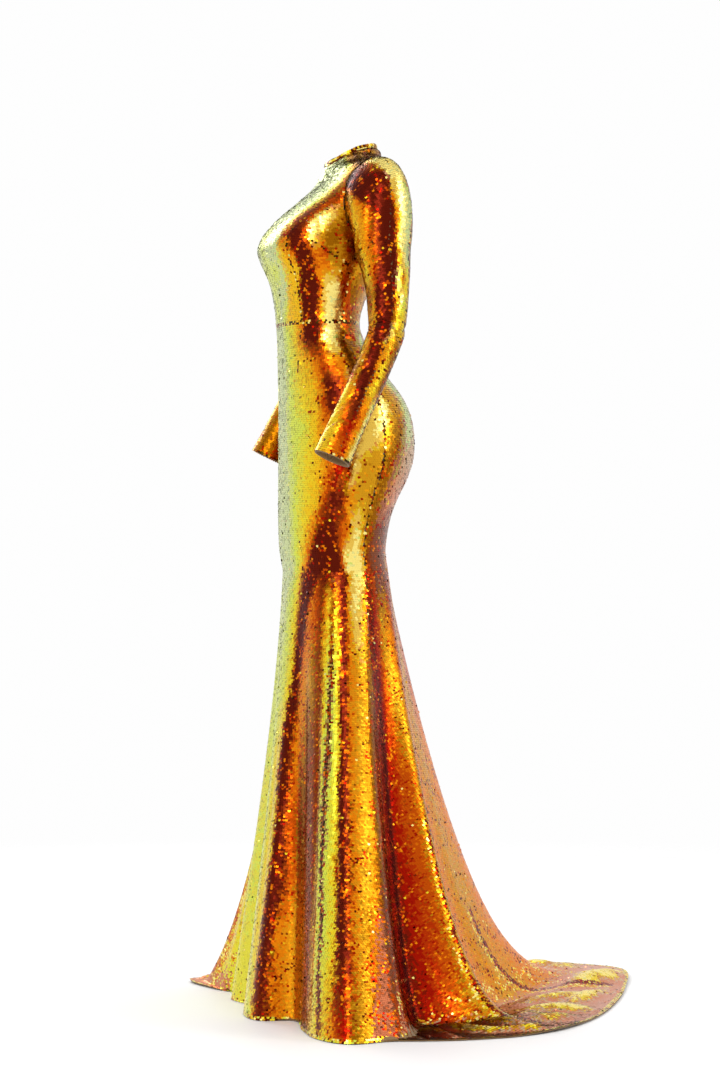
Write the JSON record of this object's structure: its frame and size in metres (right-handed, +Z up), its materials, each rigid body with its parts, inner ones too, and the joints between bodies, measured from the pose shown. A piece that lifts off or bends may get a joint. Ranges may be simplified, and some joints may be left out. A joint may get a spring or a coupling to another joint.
{
  "type": "evening gown",
  "caption": "Worn-form evening gown with long sleeves, high neck, fitted hips, flared skirt and floor train, held by its wearer.",
  "frame": {"origin": "on the body axis at shoulder level, 1.52 m above the floor that the hem lies on, where the wearer's shoulders hold the gown", "axes": "+X the wearer's left, -Y the front, +Z up"},
  "size_m": [0.9569, 0.8416, 1.5542],
  "materials": {
    "sequin_front": "shiny sequins",
    "sequin_side": "shiny sequins",
    "sequin_back": "shiny sequins",
    "sequin_edge": "shiny sequins"
  },
  "bodies": {
    "root": {"bodice_centre_front": "sequin_front", "bodice_side_front_left": "sequin_side", "bodice_side_front_right": "sequin_side", "bodice_back_left": "sequin_back", "bodice_back_right": "sequin_back", "neck_binding": "sequin_edge", "sleeve_left": "sequin_side", "sleeve_right": "sequin_side", "skirt_front": "sequin_front", "skirt_back_left": "sequin_side", "skirt_back_right": "sequin_back"}
  },
  "joints": []
}
